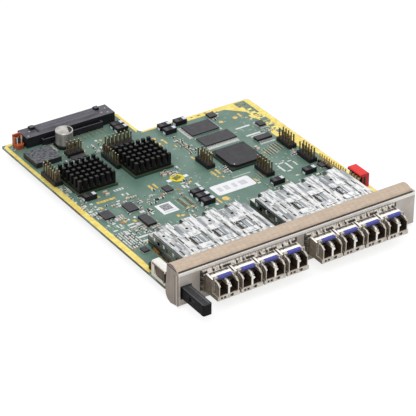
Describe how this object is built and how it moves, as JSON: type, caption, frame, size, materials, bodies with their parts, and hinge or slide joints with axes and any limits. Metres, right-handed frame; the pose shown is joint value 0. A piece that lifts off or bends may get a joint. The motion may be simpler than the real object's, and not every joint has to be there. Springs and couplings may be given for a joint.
{
  "type": "switch line card",
  "caption": "Double-width hot-swap switch line card: board with two ganged cages of optical modules behind a gasketed front panel, pull handle, heat sinks and a rear plug connector.",
  "frame": {"origin": "on the front panel's outer face, on the card's centre line, level with the component side of the board", "axes": "+X along the panel to the right seen from the front, +Y from the panel to the rear connector, +Z out of the component side"},
  "size_m": [0.1503, 0.205, 0.024],
  "materials": {
    "board": "satin green solder mask",
    "nickel_panel": "satin nickel plate",
    "foam": "matt foam",
    "gasket_fabric": "metallised cloth",
    "cage_metal": "bright tin plate",
    "spring_metal": "tin-plated spring sheet",
    "module_metal": "nickel-plated die casting",
    "bail_blue": "blue moulded grip",
    "black_plastic": "matt",
    "connector_plastic": "matt",
    "steel": "plain",
    "bracket_metal": "satin",
    "gold": "gold plate",
    "orange_plastic": "satin",
    "can_aluminium": "bright can",
    "potting": "rough",
    "black_anodised": "black anodised",
    "laminate": "satin laminate",
    "chip_plastic": "matt moulding",
    "red_plastic": "satin",
    "white_plastic": "matt"
  },
  "bodies": {
    "card": {"board": "board", "front_panel": "nickel_panel", "gasket_foam": "foam", "gasket_fabric": "gasket_fabric", "cage_left": "cage_metal", "cage_right": "cage_metal", "spring_collar_left": "spring_metal", "spring_collar_right": "spring_metal", "host_connectors": "black_plastic", "latch_bracket": "bracket_metal", "handle_switch": "black_plastic", "panel_block": "bracket_metal", "board_screws": "steel", "rear_connector": "connector_plastic", "rear_contacts": "gold", "fuse_holder": "orange_plastic", "fuse_link": "steel", "capacitor_can": "can_aluminium", "capacitor_base": "black_plastic", "power_module": "potting", "heat_sink_1": "black_anodised", "heat_sink_2": "black_anodised", "switch_chip_1": "laminate", "switch_chip_2": "laminate", "processor": "chip_plastic", "memory_chips": "chip_plastic", "small_chips": "chip_plastic", "tantalum_capacitors": "chip_plastic", "header_bases": "black_plastic", "header_pins": "gold", "dip_body": "red_plastic", "dip_pins": "gold", "ground_strip": "gold", "module_1": "module_metal", "module_2": "module_metal", "module_3": "module_metal", "module_4": "module_metal", "module_5": "module_metal", "module_6": "module_metal", "module_7": "module_metal", "module_8": "module_metal"},
    "pull_handle": {"pull_handle": "black_plastic", "latch_rod": "steel"},
    "bail_1": {"bail_1": "bail_blue"},
    "bail_2": {"bail_2": "bail_blue"},
    "bail_3": {"bail_3": "bail_blue"},
    "bail_4": {"bail_4": "bail_blue"},
    "bail_5": {"bail_5": "bail_blue"},
    "bail_6": {"bail_6": "bail_blue"},
    "bail_7": {"bail_7": "bail_blue"},
    "bail_8": {"bail_8": "bail_blue"},
    "dip_slider_1": {"dip_slider_1": "white_plastic"},
    "dip_slider_2": {"dip_slider_2": "white_plastic"},
    "dip_slider_3": {"dip_slider_3": "white_plastic"},
    "dip_slider_4": {"dip_slider_4": "white_plastic"}
  },
  "joints": [
    {"name": "bail_1_swing", "type": "hinge", "parent": "card", "child": "bail_1", "pos_m": [-0.05287, -0.0095, 0.0045], "axis": [1, 0, 0], "range_deg": [0, 90]},
    {"name": "bail_2_swing", "type": "hinge", "parent": "card", "child": "bail_2", "pos_m": [-0.03862, -0.0095, 0.0045], "axis": [1, 0, 0], "range_deg": [0, 90]},
    {"name": "bail_3_swing", "type": "hinge", "parent": "card", "child": "bail_3", "pos_m": [-0.02438, -0.0095, 0.0045], "axis": [1, 0, 0], "range_deg": [0, 90]},
    {"name": "bail_4_swing", "type": "hinge", "parent": "card", "child": "bail_4", "pos_m": [-0.01013, -0.0095, 0.0045], "axis": [1, 0, 0], "range_deg": [0, 90]},
    {"name": "bail_5_swing", "type": "hinge", "parent": "card", "child": "bail_5", "pos_m": [0.01162, -0.0095, 0.0045], "axis": [1, 0, 0], "range_deg": [0, 90]},
    {"name": "bail_6_swing", "type": "hinge", "parent": "card", "child": "bail_6", "pos_m": [0.02587, -0.0095, 0.0045], "axis": [1, 0, 0], "range_deg": [0, 90]},
    {"name": "bail_7_swing", "type": "hinge", "parent": "card", "child": "bail_7", "pos_m": [0.04013, -0.0095, 0.0045], "axis": [1, 0, 0], "range_deg": [0, 90]},
    {"name": "bail_8_swing", "type": "hinge", "parent": "card", "child": "bail_8", "pos_m": [0.05437, -0.0095, 0.0045], "axis": [1, 0, 0], "range_deg": [0, 90]},
    {"name": "handle_pull", "type": "slide", "parent": "card", "child": "pull_handle", "axis": [0, -1, 0], "range_m": [0, 0.008]},
    {"name": "dip_slider_1_throw", "type": "slide", "parent": "card", "child": "dip_slider_1", "axis": [0, 0, 1], "range_m": [0, 0.0014]},
    {"name": "dip_slider_2_throw", "type": "slide", "parent": "card", "child": "dip_slider_2", "axis": [0, 0, 1], "range_m": [0, 0.0014]},
    {"name": "dip_slider_3_throw", "type": "slide", "parent": "card", "child": "dip_slider_3", "axis": [0, 0, 1], "range_m": [0, 0.0014]},
    {"name": "dip_slider_4_throw", "type": "slide", "parent": "card", "child": "dip_slider_4", "axis": [0, 0, 1], "range_m": [0, 0.0014]}
  ]
}
